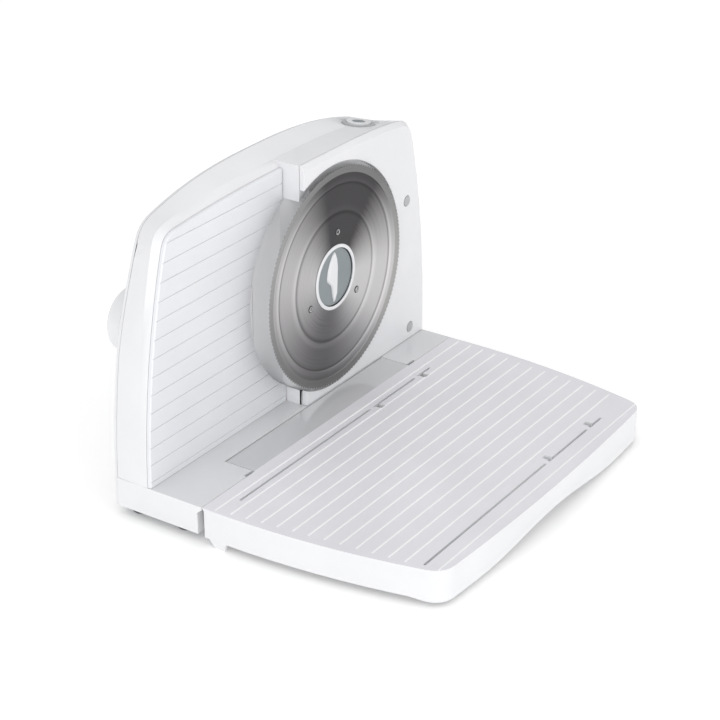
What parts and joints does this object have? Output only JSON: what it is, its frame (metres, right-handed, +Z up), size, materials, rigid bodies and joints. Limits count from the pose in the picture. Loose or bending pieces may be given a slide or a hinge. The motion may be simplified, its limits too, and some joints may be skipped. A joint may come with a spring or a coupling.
{
  "type": "food slicer",
  "caption": "Electric household food slicer with a round blade, a sliding thickness plate and a ribbed folding table, mostly white.",
  "frame": {"origin": "on the floor, under the middle of the whole object", "axes": "+Z up, -Y towards the folding table, +X along the food's travel from the plate side to the motor side"},
  "size_m": [0.3216, 0.283, 0.226],
  "materials": {
    "white_gloss": "gloss",
    "white_satin": "satin",
    "grey_plastic": "satin",
    "dark_plastic": "satin",
    "rubber": "matt",
    "steel": "brushed",
    "zinc": "satin",
    "bronze": "satin",
    "nylon": "satin"
  },
  "bodies": {
    "housing": {"main_housing": "white_gloss", "rear_cover": "white_gloss", "bottom_cover": "grey_plastic", "base_foot_1": "rubber", "base_foot_2": "rubber", "base_foot_3": "rubber", "base_foot_4": "rubber", "rear_screw_1": "zinc", "rear_screw_2": "zinc", "rear_screw_3": "zinc", "rear_screw_4": "zinc", "bottom_screw_1": "zinc", "bottom_screw_2": "zinc", "bottom_screw_3": "zinc", "bottom_screw_4": "zinc", "blade_cover": "white_gloss", "cover_plug_1": "grey_plastic", "cover_plug_2": "grey_plastic", "guide_rod_left": "steel", "guide_rod_right": "steel", "hinge_pin_left": "steel", "hinge_pin_right": "steel", "bush_front": "bronze", "bush_rear": "bronze", "motor": "zinc", "motor_bracket": "zinc", "switch_ring": "grey_plastic", "micro_switch": "dark_plastic", "cord_gland": "rubber"},
    "plate": {"thickness_plate": "white_satin", "plate_carrier": "nylon", "follower_pin": "steel"},
    "adjuster": {"thickness_knob": "white_gloss", "cam_barrel": "nylon"},
    "table": {"folding_table": "white_gloss", "table_foot_1": "rubber", "table_foot_2": "rubber"},
    "blade_set": {"blade": "steel", "blade_rivet_1": "steel", "blade_rivet_2": "steel", "blade_rivet_3": "steel", "drive_hub": "nylon", "spindle": "steel", "lock_bezel": "white_gloss", "worm_wheel": "nylon"},
    "blade_lock": {"lock_knob": "grey_plastic"},
    "worm": {"worm_shaft": "steel"},
    "button": {"switch_button": "white_gloss"}
  },
  "joints": [
    {"name": "plate_slide", "type": "slide", "parent": "housing", "child": "plate", "axis": [0, -1, 0], "range_m": [0, 0.0175]},
    {"name": "adjuster_turn", "type": "hinge", "parent": "housing", "child": "adjuster", "pos_m": [-0.113, 0.1201, 0.127], "axis": [0, 1, 0], "range_deg": [0, 300]},
    {"name": "table_fold", "type": "hinge", "parent": "housing", "child": "table", "pos_m": [0, 0.0498, 0.0233], "axis": [-1, 0, 0], "range_deg": [0, 90]},
    {"name": "blade_spin", "type": "hinge", "parent": "housing", "child": "blade_set", "pos_m": [0.037, 0.0668, 0.12], "axis": [0, 1, 0], "continuous": true},
    {"name": "worm_spin", "type": "hinge", "parent": "housing", "child": "worm", "pos_m": [0.063, 0.0963, 0.12], "axis": [0, 0, 1], "continuous": true},
    {"name": "lock_turn", "type": "hinge", "parent": "blade_set", "child": "blade_lock", "pos_m": [0.037, 0.0668, 0.12], "axis": [0, 1, 0], "range_deg": [0, 90]},
    {"name": "button_press", "type": "slide", "parent": "housing", "child": "button", "axis": [-0.1564, 0, -0.9877], "range_m": [0, 0.0025], "stiffness_N_per_m": 400}
  ],
  "couplings": [
    {"joint": "adjuster_turn", "follows": "plate_slide", "rad_per_m": 299.19},
    {"joint": "worm_spin", "follows": "blade_spin", "ratio": 25}
  ]
}
